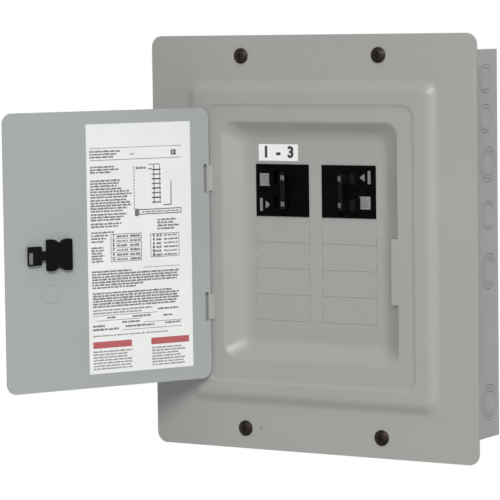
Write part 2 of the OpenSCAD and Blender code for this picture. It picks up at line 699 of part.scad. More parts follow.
// Latch slide: hourglass block, shank through the door, neck and wedge tongue
module latch_slide() color(black) swung() {
  y_end = y_tongue + tongue_t;
  translate([block_x, 0, latch_z]) plate([y_block, y_end]) polygon([
    [-latch_w / 2, -latch_h / 2 + 1], [-latch_w / 2 + 1, -latch_h / 2], [-5, -latch_h / 2],
    [0, -latch_h / 2 + 4.5], [5, -latch_h / 2], [latch_w / 2 - 1, -latch_h / 2],
    [latch_w / 2, -latch_h / 2 + 1], [latch_w / 2, latch_h / 2 - 1], [latch_w / 2 - 1, latch_h / 2],
    [5, latch_h / 2], [0, latch_h / 2 - 4.5], [-5, latch_h / 2], [-latch_w / 2 + 1, latch_h / 2],
    [-latch_w / 2, latch_h / 2 - 1]
  ]);
  block([block_x - shank_w / 2, block_x + shank_w / 2], [y_door - move_gap, y_block + eps],
        [latch_z - shank_h / 2, latch_z + shank_h / 2]);
  block([block_x + latch_w / 2 - eps, tip_x - tongue_l + eps], [y_tongue, y_end],
        [latch_z - neck_h / 2, latch_z + neck_h / 2]);
  difference() {
    translate([0, 0, latch_z - tongue_h / 2]) linear_extrude(tongue_h) polygon([
      [tip_x - tongue_l, y_tongue], [tip_x, y_tongue], [tip_x, y_end - 1.2],
      [tip_x - 1.5, y_end], [tip_x - tongue_l, y_end]
    ]);
    translate([0, 0, latch_z - tongue_h / 2 + 1.3]) linear_extrude(tongue_h - 6.6) polygon([
      [tip_x - 0.8, y_tongue + 0.9], [tip_x - 9, y_end - 0.2], [tip_x - 9, y_end + 1], [tip_x - 0.8, y_end + 1]
    ]);
  }
}

// Ribbed grip on the outside of the door
module latch_knob() color(black) swung() {
  y1 = y_door - move_gap;
  translate([block_x, 0, latch_z]) plate([y1 - 2.4, y1]) rounded(34, 26, 4);
  for (i = [-2:2]) block([block_x + i * 4 - 0.9, block_x + i * 4 + 0.9], [y1 - 5.2, y1 - 2.4 + eps],
                         [latch_z - 9, latch_z + 9]);
}

enclosure_wrap();
top_end_wall();
bottom_end_wall();
cover_trim();
cover_screws();
main_marker();
interior_pan();
pan_screws();
bus_base();
base_screws();
bus_bar_a();
bus_bar_b();
bus_screws();
neutral_supports();
neutral_bar_left();
neutral_bar_right();
neutral_screws();
neutral_mount_screws();
neutral_strap();
strap_screws();
neutral_lug();
lug_screw();
bonding_screw();
ground_bar();
ground_screws();
ground_mount_screws();
main_breaker_case();
main_breaker_jaws();
main_terminals();
main_terminal_screws();
main_hold_down();
hold_down_screw();
branch_breaker_case();
branch_breaker_jaws();
branch_terminals();
branch_terminal_screws();
main_toggles();
main_handle_tie();
branch_toggles();
branch_handle_tie();
door_panel();
hinge_pins();
door_label();
latch_slide();
latch_knob();
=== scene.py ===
"""Dresses a flush-mount electrical subpanel: steel box, drawn cover, open door, breakers."""
import json
import logging
import math
import random
from dataclasses import dataclass
from enum import Enum
from typing import Callable, Sequence

import bmesh
import bpy
from mathutils import Matrix, Vector


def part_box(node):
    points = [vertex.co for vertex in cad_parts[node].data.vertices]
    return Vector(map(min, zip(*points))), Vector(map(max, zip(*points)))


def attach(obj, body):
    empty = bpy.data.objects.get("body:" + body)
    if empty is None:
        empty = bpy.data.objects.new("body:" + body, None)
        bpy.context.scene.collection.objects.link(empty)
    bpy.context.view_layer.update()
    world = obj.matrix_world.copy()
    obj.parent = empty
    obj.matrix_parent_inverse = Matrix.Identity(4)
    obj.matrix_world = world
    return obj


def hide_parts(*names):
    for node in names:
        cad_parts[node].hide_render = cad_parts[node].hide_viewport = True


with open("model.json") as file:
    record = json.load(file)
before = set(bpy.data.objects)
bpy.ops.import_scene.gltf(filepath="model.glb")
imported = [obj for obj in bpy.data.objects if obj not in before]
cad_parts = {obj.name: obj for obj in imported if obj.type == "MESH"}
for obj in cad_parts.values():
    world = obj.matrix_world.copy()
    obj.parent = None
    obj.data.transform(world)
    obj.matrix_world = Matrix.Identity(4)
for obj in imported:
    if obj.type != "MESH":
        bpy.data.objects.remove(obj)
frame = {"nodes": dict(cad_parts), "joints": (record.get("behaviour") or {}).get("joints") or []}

LOG = logging.getLogger("subpanel")
MM = 0.001
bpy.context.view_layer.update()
SMOOTH_DEG = 32.0
Rgb = tuple[int, int, int]
Mesh = bmesh.types.BMesh
Edge = bmesh.types.BMEdge
Socket = bpy.types.NodeSocket
Pick = Callable[[Edge], bool]


def linear(colour: Rgb, gain: float = 1.0) -> tuple[float, float, float, float]:
    """Turns a screen colour into the linear colour that shaders take.

    Args:
        colour: Red, green and blue from 0 to 255.
        gain: Factor on the linear values.

    Returns:
        Linear red, green and blue, and an alpha of 1.
    """
    out = []
    for part in colour:
        c = part / 255
        c = c / 12.92 if c <= 0.04045 else ((c + 0.055) / 1.055) ** 2.4
        out.append(min(1.0, c * gain))
    return (out[0], out[1], out[2], 1.0)


class Shader:
    """Builds the node tree of one material around its Principled shader."""

    def __init__(self, name: str) -> None:
        """Makes an empty material with a Principled shader.

        Args:
            name: Name of the material.
        """
        self.material = bpy.data.materials.new(name)
        self.material.use_nodes = True
        self.tree = self.material.node_tree
        self.tree.nodes.clear()
        out = self.tree.nodes.new("ShaderNodeOutputMaterial")
        self.bsdf = self.tree.nodes.new("ShaderNodeBsdfPrincipled")
        self.tree.links.new(self.bsdf.outputs["BSDF"], out.inputs["Surface"])
        self.coords = self.tree.nodes.new("ShaderNodeTexCoord").outputs["Object"]

    def set(self, **values: float) -> None:
        """Sets constant sockets of the shader, with spaces written as underscores."""
        for key, value in values.items():
            self.bsdf.inputs[key.replace("_", " ")].default_value = value

    def stretched(self, scale: tuple[float, float, float]) -> Socket:
        """Gives object coordinates scaled along each axis.

        Args:
            scale: Factors along X, Y and Z.

        Returns:
            The vector socket.
        """
        node = self.tree.nodes.new("ShaderNodeMapping")
        node.inputs["Scale"].default_value = scale
        self.tree.links.new(self.coords, node.inputs["Vector"])
        return node.outputs["Vector"]

    def noise(self, scale: float, detail: float = 2.0, vector: Socket | None = None) -> Socket:
        """Adds a noise texture.

        Args:
            scale: Cells per metre.
            detail: Octaves.
            vector: Coordinates, or None for the object's own.

        Returns:
            The value socket.
        """
        node = self.tree.nodes.new("ShaderNodeTexNoise")
        node.inputs["Scale"].default_value = scale
        node.inputs["Detail"].default_value = detail
        self.tree.links.new(vector or self.coords, node.inputs["Vector"])
        return node.outputs["Fac"]

    def ramp(self, value: Socket, stops: Sequence[tuple[float, tuple]]) -> Socket:
        """Maps a value to colours.

        Args:
            value: Socket from 0 to 1.
            stops: Positions with their linear colours.

        Returns:
            The colour socket.
        """
        node = self.tree.nodes.new("ShaderNodeValToRGB")
        elements = node.color_ramp.elements
        while len(elements) < len(stops):
            elements.new(0.5)
        for element, (place, colour) in zip(elements, stops):
            element.position = place
            element.color = colour
        self.tree.links.new(value, node.inputs["Fac"])
        return node.outputs["Color"]

    def spread(self, value: Socket, low: float, high: float) -> Socket:
        """Maps noise around its middle to a range.

        Args:
            value: Noise socket.
            low: Result at noise 0.3.
            high: Result at noise 0.7.

        Returns:
            The value socket.
        """
        node = self.tree.nodes.new("ShaderNodeMapRange")
        for key, number in (("From Min", 0.3), ("From Max", 0.7), ("To Min", low), ("To Max", high)):
            node.inputs[key].default_value = number
        self.tree.links.new(value, node.inputs["Value"])
        return node.outputs["Result"]

    def darken(self, colour: Socket, by: Socket) -> Socket:
        """Multiplies one colour by another.

        Args:
            colour: First colour socket.
            by: Second colour socket.

        Returns:
            The product's socket.
        """
        node = self.tree.nodes.new("ShaderNodeMix")
        node.data_type = "RGBA"
        node.blend_type = "MULTIPLY"
        node.inputs["Factor"].default_value = 1.0
        self.tree.links.new(colour, node.inputs["A"])
        self.tree.links.new(by, node.inputs["B"])
        return node.outputs["Result"]

    def bump(self, height: Socket, strength: float, depth: float) -> None:
        """Drives the shader's normal from a height.

        Args:
            height: Height socket.
            strength: Strength from 0 to 1.
            depth: Height of the relief in metres.
        """
        node = self.tree.nodes.new("ShaderNodeBump")
        node.inputs["Strength"].default_value = strength
        node.inputs["Distance"].default_value = depth
        self.tree.links.new(height, node.inputs["Height"])
        self.tree.links.new(node.outputs["Normal"], self.bsdf.inputs["Normal"])

    def feed(self, socket: str, value: Socket) -> None:
        """Links a value to one of the shader's sockets."""
        self.tree.links.new(value, self.bsdf.inputs[socket])


@dataclass(frozen=True)
class PaintFinish:
    """Baked enamel on sheet steel: slight orange peel, faint mottling and scuffs."""

    name: str
    colour: Rgb
    rough: float = 0.38
    peel: float = 0.1
    mottle: float = 0.025
    scuff: float = 0.95
    shine: float = 0.5

    def material(self) -> bpy.types.Material:
        """Builds the material."""
        s = Shader(self.name)
        tone = s.ramp(s.noise(9.0, 3.0), [(0.3, linear(self.colour, 1 - self.mottle)),
                                          (0.7, linear(self.colour, 1 + self.mottle))])
        marks = s.ramp(s.noise(95.0, 5.0), [(0.67, (1, 1, 1, 1)), (0.78, (self.scuff,) * 3 + (1,))])
        s.feed("Base Color", s.darken(tone, marks))
        s.feed("Roughness", s.spread(s.noise(40.0, 3.0), self.rough - 0.05, self.rough + 0.06))
        s.bump(s.noise(620.0, 2.0), self.peel, 0.00025)
        s.set(Specular_IOR_Level=self.shine)
        return s.material


@dataclass(frozen=True)
class MouldedFinish:
    """Moulded plastic with a fine spark-eroded grain."""

    name: str
    colour: Rgb
    rough: float = 0.45
    grain: float = 0.18
    lift: float = 0.25
    shine: float = 0.3

    def material(self) -> bpy.types.Material:
        """Builds the material."""
        s = Shader(self.name)
        s.feed("Base Color", s.ramp(s.noise(70.0, 4.0), [(0.3, linear(self.colour, 1 - self.lift)),
                                                         (0.7, linear(self.colour, 1 + self.lift))]))
        s.feed("Roughness", s.spread(s.noise(160.0, 3.0), self.rough - 0.06, self.rough + 0.08))
        s.bump(s.noise(2600.0, 2.0), self.grain, 0.00008)
        s.set(Specular_IOR_Level=self.shine)
        return s.material


@dataclass(frozen=True)
class PlatedFinish:
    """Bare or plated metal with a drawn grain along one axis."""

    name: str
    colour: Rgb
    rough: float = 0.34
    along: tuple[float, float, float] = (1.0, 1.0, 0.06)
    stain: float = 0.12

    def material(self) -> bpy.types.Material:
        """Builds the material."""
        s = Shader(self.name)
        s.feed("Base Color", s.ramp(s.noise(45.0, 4.0), [(0.3, linear(self.colour, 1 - self.stain)),
                                                         (0.7, linear(self.colour, 1 + self.stain * 0.5))]))
        lines = s.noise(900.0, 3.0, s.stretched(self.along))
        s.feed("Roughness", s.spread(lines, self.rough - 0.08, self.rough + 0.1))
        s.bump(lines, 0.08, 0.0001)
        s.set(Metallic=1.0)
        return s.material


@dataclass(frozen=True)
class SheetFinish:
    """Printed label stock: matt film with a faint fibre."""

    name: str
    colour: Rgb
    rough: float = 0.5

    def material(self) -> bpy.types.Material:
        """Builds the material."""
        s = Shader(self.name)
        s.feed("Base Color", s.ramp(s.noise(30.0, 3.0), [(0.3, linear(self.colour, 0.97)),
                                                         (0.7, linear(self.colour, 1.02))]))
        s.feed("Roughness", s.spread(s.noise(300.0, 2.0), self.rough - 0.05, self.rough + 0.07))
        s.bump(s.noise(1500.0, 3.0), 0.08, 0.00005)
        return s.material


class Steel(Enum):
    """Painted sheet-steel finishes; the box's and the door's paints are lighter copies of the cover's that
    carry painted light.
    """

    # Box paint: lighter than the cover's paint, painted light making up for light the box's sides would get.
    BOX_WITH_PAINTED_LIGHT = PaintFinish("box_paint", (181, 179, 177), 0.5)
    COVER = PaintFinish("cover_paint", (156, 156, 153))
    # Door paint: a lighter, bluer copy of the cover's paint, painted light standing in for the light on the
    # open door's inner face.
    DOOR_WITH_PAINTED_LIGHT = PaintFinish("door_paint", (164, 168, 168))


class Metal(Enum):
    """Bare and plated metals."""

    ZINC = PlatedFinish("zinc_plate", (196, 199, 198))
    PAN = PlatedFinish("galvanised_pan", (184, 187, 185), 0.42)
    BAR = PlatedFinish("bar_aluminium", (200, 203, 205), 0.3)
    JAW = PlatedFinish("plated_jaw", (205, 160, 104), 0.3, (1.0, 0.06, 1.0))
    GREEN = PlatedFinish("green_zinc", (74, 138, 92), 0.34)
    DARK = PlatedFinish("dark_oxide", (46, 40, 36), 0.42, (1.0, 1.0, 1.0), 0.25)


class Plastic(Enum):
    """Moulded plastics."""

    CASE = MouldedFinish("breaker_case", (8, 7, 8), 0.5, shine=0.02)
    HANDLE = MouldedFinish("breaker_handle", (13, 12, 13), 0.34, 0.08, shine=0.08)
    LATCH = MouldedFinish("latch_black", (14, 13, 14), 0.42, shine=0.06)
    # Light grey for the tongue's ramp on the black latch: a painted highlight where the ramp catches light.
    RAMP_PAINTED_HIGHLIGHT = MouldedFinish("latch_painted_highlight", (114, 113, 113), 0.35, 0.1, 0.12)
    BASE = MouldedFinish("bus_base_plastic", (44, 44, 46), 0.5)
    POST = MouldedFinish("white_post", (228, 225, 215), 0.45, 0.1, 0.03)


class Print(Enum):
    """Label stock and inks."""

    WHITE = SheetFinish("white_sheet", (238, 240, 238))
    GREY = SheetFinish("grey_sheet", (132, 130, 130))
    INK = SheetFinish("black_ink", (50, 48, 50))
    FAINT = SheetFinish("grey_ink", (110, 110, 110))
    RED = SheetFinish("red_ink", (182, 92, 97))
    MARK = SheetFinish("pad_print", (120, 118, 118))


class Finishes:
    """Makes each finish once and hands out its material."""

    made: dict[str, bpy.types.Material] = {}

    @classmethod
    def get(cls, choice: Enum) -> bpy.types.Material:
        """Gives the material of a finish.

        Args:
            choice: A member of one of the finish lists.

        Returns:
            The material, built on first use.
        """
        finish = choice.value
        if finish.name not in cls.made:
            cls.made[finish.name] = finish.material()
        return cls.made[finish.name]


class Workshop:
    """Mesh helpers shared by the sub-assemblies."""

    font_tall = 0.72
    ink = 0.04 * MM

    @staticmethod
    def coat(node: str, choice: Enum) -> None:
        """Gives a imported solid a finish.

        Args:
            node: Name of the solid.
            choice: Its finish.
        """
        for place in frame["nodes"][node].material_slots:
            place.material = Finishes.get(choice)
        LOG.info("%s: %s", node, choice.value.name)

    @staticmethod
    def piece(name: str, bm: Mesh, body: str, slot: str, choices: Sequence[Enum],
              stands_for: str | None = None) -> None:
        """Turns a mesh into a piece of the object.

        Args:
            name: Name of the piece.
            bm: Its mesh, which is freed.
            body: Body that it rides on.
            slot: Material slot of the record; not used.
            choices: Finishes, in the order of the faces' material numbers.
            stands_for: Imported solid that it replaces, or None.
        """
        mesh = bpy.data.meshes.new(name)
        bm.normal_update()
        bm.to_mesh(mesh)
        bm.free()
        for choice in choices:
            mesh.materials.append(Finishes.get(choice))
        obj = bpy.data.objects.new(name, mesh)
        bpy.context.scene.collection.objects.link(obj)
        for face in mesh.polygons:
            face.use_smooth = True
        mesh.set_sharp_from_angle(angle=math.radians(SMOOTH_DEG))
        even = obj.modifiers.new("even_flats", "WEIGHTED_NORMAL")
        even.keep_sharp = True
        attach(obj, body)
        if stands_for:
            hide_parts(stands_for)
        LOG.info("%s: %d faces on %s", name, len(mesh.polygons), body)

    @staticmethod
    def copy_of(node: str, weld: float = 2e-6) -> Mesh:
        """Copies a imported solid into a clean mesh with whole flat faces.

        Args:
            node: Name of the solid.
            weld: Distance in metres within which corners are joined.

        Returns:
            The mesh.
        """
        bm = bmesh.new()
        bm.from_mesh(frame["nodes"][node].data)
        bmesh.ops.remove_doubles(bm, verts=bm.verts, dist=weld)
        bmesh.ops.dissolve_limit(bm, angle_limit=math.radians(0.4), verts=bm.verts, edges=bm.edges)
        return bm

    @staticmethod
    def soften(bm: Mesh, width: float, pick: Pick, segments: int = 3) -> int:
        """Rounds the chosen edges.

        Args:
            bm: Mesh to change.
            width: Width of the rounding in metres.
            pick: Says which edges are rounded.
            segments: Faces across the rounding.

        Returns:
            How many edges were rounded.
        """
        edges = [e for e in bm.edges if len(e.link_faces) == 2 and pick(e)]
        if edges:
            bmesh.ops.bevel(bm, geom=edges, offset=width, segments=segments, profile=0.5,
                            affect="EDGES", clamp_overlap=True, offset_type="OFFSET")
        return len(edges)

    @staticmethod
    def sharp(limit: float = 25.0) -> Pick:
        """Gives a test for edges that bend more than a limit.

        Args:
            limit: Angle in degrees.

        Returns:
            The test.
        """
        return lambda e: e.calc_face_angle(0.0) > math.radians(limit)

    @staticmethod
    def bar(bm: Mesh, low: Sequence[float], high: Sequence[float], finish: int = 0,
            matrix: Matrix | None = None) -> None:
        """Adds a closed box between two corners.

        Args:
            bm: Mesh to add to.
            low: Lowest corner in metres.
            high: Highest corner in metres.
            finish: Material number.
            matrix: Placement, or None.
        """
        place = matrix or Matrix()
        corners = [bm.verts.new(place @ Vector((x, y, z)))
                   for x in (low[0], high[0]) for y in (low[1], high[1]) for z in (low[2], high[2])]
        for ring in ((0, 1, 3, 2), (4, 6, 7, 5), (0, 4, 5, 1), (2, 3, 7, 6), (0, 2, 6, 4), (1, 5, 7, 3)):
            bm.faces.new([corners[i] for i in ring]).material_index = finish

    @staticmethod
    def outline(bm: Mesh, points: Sequence[tuple[float, float]], face: float, depth: float,
                finish: int = 0) -> None:
        """Adds a closed prism drawn on a front.

        Args:
            bm: Mesh to add to.
            points: Corners as X and Z in metres, anticlockwise seen from the front.
            face: Y of its back.
            depth: Thickness towards the front.
            finish: Material number.
        """
        front = [bm.verts.new((x, face - depth, z)) for x, z in points]
        back = [bm.verts.new((x, face, z)) for x, z in points]
        made = [bm.faces.new(front), bm.faces.new(list(reversed(back)))]
        for i, corner in enumerate(front):
            j = (i + 1) % len(front)
            made.append(bm.faces.new((corner, back[i], back[j], front[j])))
        for face_made in made:
            face_made.material_index = finish

    @staticmethod
    def figures(bm: Mesh, text: str, height: float, place: Matrix, finish: int = 0,
                bold: float = 0.0, apart: float = 1.0) -> None:
        """Adds plain figures as closed meshes.

        Args:
            bm: Mesh to add to.
            text: The figures.
            height: Height of a figure in metres.
            place: Placement of their middle; they read along X with Y up.
            finish: Material number.
            bold: Growth of the strokes in metres.
            apart: Factor on the distance between figures.
        """
        curve = bpy.data.curves.new("figures", "FONT")
        curve.body = text
        curve.size = height / Workshop.font_tall
        curve.extrude = Workshop.ink
        curve.offset = bold
        curve.space_character = apart
        curve.align_x = "CENTER"
        curve.align_y = "CENTER"
        curve.resolution_u = 5
        holder = bpy.data.objects.new("figures", curve)
        bpy.context.scene.collection.objects.link(holder)
        mesh = holder.to_mesh()
        mesh.transform(place)
        first = len(bm.faces)
        bm.from_mesh(mesh)
        bm.faces.ensure_lookup_table()
        bmesh.ops.remove_doubles(bm, verts=list({v for f in bm.faces[first:] for v in f.verts}), dist=1e-7)
        bm.faces.ensure_lookup_table()
        for face in bm.faces[first:]:
            face.material_index = finish
        holder.to_mesh_clear()
        bpy.data.objects.remove(holder)
        bpy.data.curves.remove(curve)


@dataclass
class SteelBox:
    """Folded box with welded ends."""

    nodes: tuple[str, ...] = ("enclosure_wrap", "top_end_wall", "bottom_end_wall")

    def dress(self) -> None:
        """Paints the box, with its paint lightened to stand in for light on its sides."""
        for node in self.nodes:
            Workshop.coat(node, Steel.BOX_WITH_PAINTED_LIGHT)


@dataclass(frozen=True)
class Zone:
    """Rectangle on the front that tells one bend of the cover from another."""

    left: float
    right: float
    low: float
    high: float

    def holds(self, point: Vector) -> bool:
        """Says whether a point lies inside."""
        return self.left < point.x < self.right and self.low < point.z < self.high

    def misses(self, point: Vector) -> bool:
        """Says whether a point lies outside."""
        return not self.holds(point)


@dataclass
class DrawnCover:
    """Cover drawn from one sheet, with its bends rounded as a press leaves them."""

    flange_y: float = -94 * MM
    frame_y: float = -99 * MM
    seat_y: float = -97.6 * MM
    dead_y: float = -84 * MM
    border: Zone = Zone(-165 * MM, 165 * MM, -198 * MM, 198 * MM)
    raised: Zone = Zone(-141 * MM, 141 * MM, -161 * MM, 161 * MM)
    seat: Zone = Zone(-124 * MM, 124 * MM, -144 * MM, 144 * MM)
    recess: Zone = Zone(-99 * MM, 99 * MM, -115 * MM, 120 * MM)
    floor: Zone = Zone(-71 * MM, 71 * MM, -92 * MM, 95 * MM)
    strike: Zone = Zone(84 * MM, 99 * MM, -56 * MM, 11 * MM)
    hinge: Zone = Zone(-200 * MM, -104 * MM, 45 * MM, 80 * MM)
    frame_r: float = 3.6 * MM
    seat_r: float = 1.2 * MM
    mouth_r: float = 1.8 * MM
    floor_r: float = 5.0 * MM
    border_r: float = 0.4 * MM
    sheet: float = 1.5 * MM
    slit_in: float = 6.9 * MM
    slit_out: float = 66.6 * MM
    slit: float = 0.5 * MM
    tie_in: float = 1.6 * MM
    tie_out: float = 3.5 * MM
    blank_top: float = 26.1 * MM
    blank_rows: int = 4
    pitch: float = 25.4 * MM
    groove: float = 0.4 * MM
    figure_tall: float = 10.6 * MM
    figure_bold: float = 0.7 * MM
    figure_gap: float = 1.25
    weld: float = 20e-6
    body: str = "enclosure"

    def at(self, level: float, inside: Callable[[Vector], bool], limit: float = 8.0) -> Pick:
        """Gives a test for the bends at one depth.

        Args:
            level: Depth of the bend.
            inside: Says whether a point lies in the wanted region.
            limit: Least bend in degrees.

        Returns:
            The test for an edge.
        """
        def pick(e: Edge) -> bool:
            """Tests one edge."""
            flat = all(abs(v.co.y - level) < 2e-5 for v in e.verts)
            bent = e.calc_face_angle(0.0) > math.radians(limit)
            return flat and bent and all(inside(v.co) for v in e.verts)
        return pick

    def on_seat(self, point: Vector) -> bool:
        """Says whether a point of the seat lies clear of the recess and of the hinge tabs."""
        mirrored = Vector((point.x, point.y, abs(point.z)))
        return self.recess.misses(point) and self.hinge.misses(mirrored)

    def on_mouth(self, point: Vector) -> bool:
        """Says whether a point lies on the edge of the recess, clear of the strike."""
        return self.recess.holds(point) and self.strike.misses(point)

    def build(self) -> None:
        """Makes the rounded cover and finishes its screws and marker."""
        bm = Workshop.copy_of("cover_trim", self.weld)
        bends = (
            (self.frame_r, self.at(self.flange_y, self.raised.holds), 5),
            (self.frame_r, self.at(self.frame_y, self.seat.misses), 5),
            (self.seat_r, self.at(self.frame_y, self.seat.holds), 3),
            (self.seat_r, self.at(self.seat_y, self.on_seat), 3),
            (self.mouth_r, self.at(self.seat_y, self.on_mouth), 3),
            (self.floor_r, self.at(self.dead_y, self.floor.misses), 5),
            (self.border_r, self.at(self.flange_y, self.border.misses, 40), 2),
        )
        counts = [Workshop.soften(bm, width, pick, segments) for width, pick, segments in bends]
        LOG.info("cover bends rounded: %s", counts)
        Workshop.piece("cover_sheet", bm, self.body, "cover_paint", [Steel.COVER], "cover_trim")
        self.bridges()
        Workshop.coat("cover_screws", Metal.DARK)
        Workshop.coat("main_marker", Print.WHITE)
        self.marker()

    def bridges(self) -> None:
        """Fills the slits round the twist-out blanks with paint, so that shallow grooves are left."""
        bm = bmesh.new()
        front, back = self.dead_y + self.groove, self.dead_y + self.sheet - self.groove
        for side in (-1, 1):
            for row in range(self.blank_rows):
                z = self.blank_top - self.pitch * (row + 0.5)
                spans = [(self.slit_in, self.slit_out, z - self.pitch / 2 - self.slit / 2,
                          z - self.pitch / 2 + self.slit / 2)]
                for x, tie in ((self.slit_in, self.tie_in), (self.slit_out - self.slit, self.tie_out)):
                    spans.append((x, x + self.slit, z + tie, z + self.pitch / 2 - self.slit / 2 * (row > 0)))
                    spans.append((x, x + self.slit, z - self.pitch / 2 + self.slit / 2, z - tie))
                for left, right, low, high in spans:
                    Workshop.bar(bm, (min(side * left, side * right), front, low),
                                 (max(side * left, side * right), back, high))
        Workshop.piece("twist_out_paint", bm, self.body, "cover_paint", [Steel.COVER])

    def marker(self) -> None:
        """Prints the numbers of the spaces on the marker."""
        low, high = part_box("main_marker")
        place = Matrix.Translation(((low[0] + high[0]) / 2, low[1] - 0.02 * MM, (low[2] + high[2]) / 2))
        bm = bmesh.new()
        Workshop.figures(bm, "1 - 3", self.figure_tall, place @ Matrix.Rotation(math.radians(90), 4, "X"),
                         bold=self.figure_bold, apart=self.figure_gap)
        Workshop.piece("marker_figures", bm, self.body, "marker_sheet", [Print.INK])


@dataclass
class Breaker:
    """Two-pole breaker with tied handles.

    The sticker and the marks are drawn in millimetres out from the panel's middle and up from the breaker's.
    """

    side: str
    sign: int
    nose_y: float = -85.5 * MM
    pitch: float = 25.4 * MM
    case_r: float = 0.35 * MM
    lever_r: float = 0.4 * MM
    lean_deg: float = 14.0
    tip_reach: float = 19.5 * MM
    tip_r: float = 3.0 * MM
    rating_tall: float = 3.4 * MM
    rating_bold: float = 0.16 * MM
    cut: float = 0.3 * MM
    cuts: int = 6
    body: str = "enclosure"

    def dress(self) -> None:
        """Finishes the case, its metal and its handles."""
        bm = Workshop.copy_of(f"{self.side}_breaker_case")
        Workshop.soften(bm, self.case_r, Workshop.sharp(), 2)
        Workshop.piece(f"{self.side}_case_moulding", bm, self.body, "breaker_plastic", [Plastic.CASE],
                       f"{self.side}_breaker_case")
        Workshop.coat(f"{self.side}_breaker_jaws", Metal.JAW)
        Workshop.coat(f"{self.side}_terminals", Metal.BAR)
        Workshop.coat(f"{self.side}_terminal_screws", Metal.ZINC)
        for node in (f"{self.side}_toggles", f"{self.side}_handle_tie"):
            bm = Workshop.copy_of(node)
            Workshop.soften(bm, self.lever_r, Workshop.sharp(), 2)
            Workshop.piece(node.replace("toggles", "levers").replace("tie", "link"), bm,
                           f"{self.side}_handles", "handle_plastic", [Plastic.HANDLE], node)
        self.marks()
        self.ratings()

    def ratings(self) -> None:
        """Prints a plain number round the tip of each lever."""
        joint = next(j for j in frame["joints"] if j["name"] == f"{self.side}_toggle")
        lean = Matrix.Rotation(math.radians(-self.sign * self.lean_deg), 4, "Z")
        upright = Matrix(((0, -1, 0, 0), (0, 0, -1, 0), (1, 0, 0, 0), (0, 0, 0, 1)))
        bm = bmesh.new()
        for pole in (-0.5, 0.5):
            place = Matrix.Translation((0, 0, pole * self.pitch)) @ upright
            Workshop.figures(bm, "20", self.rating_tall, place, bold=self.rating_bold)
        for step in range(-self.cuts, self.cuts + 1):
            bmesh.ops.bisect_plane(bm, geom=[*bm.verts, *bm.edges, *bm.faces],
                                   plane_co=(self.cut * step, 0, 0), plane_no=(1, 0, 0))
        for v in bm.verts:
            v.co.y -= self.tip_reach + math.sqrt(self.tip_r ** 2 - v.co.x ** 2)
        bmesh.ops.transform(bm, matrix=Matrix.Translation(Vector(joint["pos_m"])) @ lean, verts=bm.verts)
        Workshop.piece(f"{self.side}_lever_numbers", bm, f"{self.side}_handles", "marker_sheet",
                       [Print.MARK])

    def marks(self) -> None:
        """Puts a plain sticker on one pole and pad-printed marks on the other."""
        low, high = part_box(f"{self.side}_breaker_case")
        middle = (low[2] + high[2]) / 2
        shapes = [(self.oblong(48.7, 4.2, 61.2, 16.4), 0.0, 0)]
        for row, length in enumerate((9.5, 8.0, 9.5, 5.5)):
            z = 14.6 - 2.6 * row
            shapes.append((self.oblong(50.2, z - 1.2, 50.2 + length, z), 0.1, 1))
        shapes.append((self.oblong(58.4, -7.8, 61.5, -20.3), 0.0, 2))
        shapes.append(([(49.2, -13.9), (55.0, -10.2), (55.0, -17.6)], 0.0, 2))
        shapes.append((self.oblong(46.4, -13.3, 49.0, -14.5), 0.0, 2))
        bm = bmesh.new()
        for shape, lift, finish in shapes:
            points = [(self.sign * x * MM, middle - self.sign * z * MM) for x, z in shape]
            self.patch(bm, points, self.nose_y - lift * MM, finish)
        Workshop.piece(f"{self.side}_breaker_marks", bm, self.body, "marker_sheet",
                       [Print.GREY, Print.FAINT, Print.MARK])

    @staticmethod
    def oblong(left: float, first: float, right: float, last: float) -> list[tuple[float, float]]:
        """Gives the corners of a rectangle."""
        return [(left, first), (right, first), (right, last), (left, last)]

    @staticmethod
    def patch(bm: Mesh, points: list[tuple[float, float]], face: float, finish: int) -> None:
        """Adds a thin printed shape, turning its corners to face the front.

        Args:
            bm: Mesh to add to.
            points: Corners as X and Z in metres.
            face: Y of the surface that it lies on.
            finish: Material number.
        """
        turn = sum(a[0] * b[1] - b[0] * a[1] for a, b in zip(points, points[1:] + points[:1]))
        Workshop.outline(bm, points if turn > 0 else points[::-1], face + 0.05 * MM, 0.12 * MM, finish)


@dataclass
class Interior:
    """Pan, bus, neutral and ground pieces inside the box."""

    body: str = "enclosure"

    def dress(self) -> None:
        """Finishes every inner piece."""
        table: dict[Enum, tuple[str, ...]] = {
            Metal.PAN: ("interior_pan", "main_hold_down"),
            Metal.ZINC: ("pan_screws", "base_screws", "bus_screws", "neutral_screws", "neutral_mount_screws",
                         "strap_screws", "lug_screw", "ground_mount_screws", "hold_down_screw"),
            Metal.BAR: ("bus_bar_a", "bus_bar_b", "neutral_bar_left", "neutral_bar_right", "neutral_strap",
                        "neutral_lug", "ground_bar"),
            Metal.GREEN: ("bonding_screw", "ground_screws"),
            Plastic.BASE: ("bus_base",),
            Plastic.POST: ("neutral_supports",),
        }
        for choice, nodes in table.items():
            for node in nodes:
                Workshop.coat(node, choice)


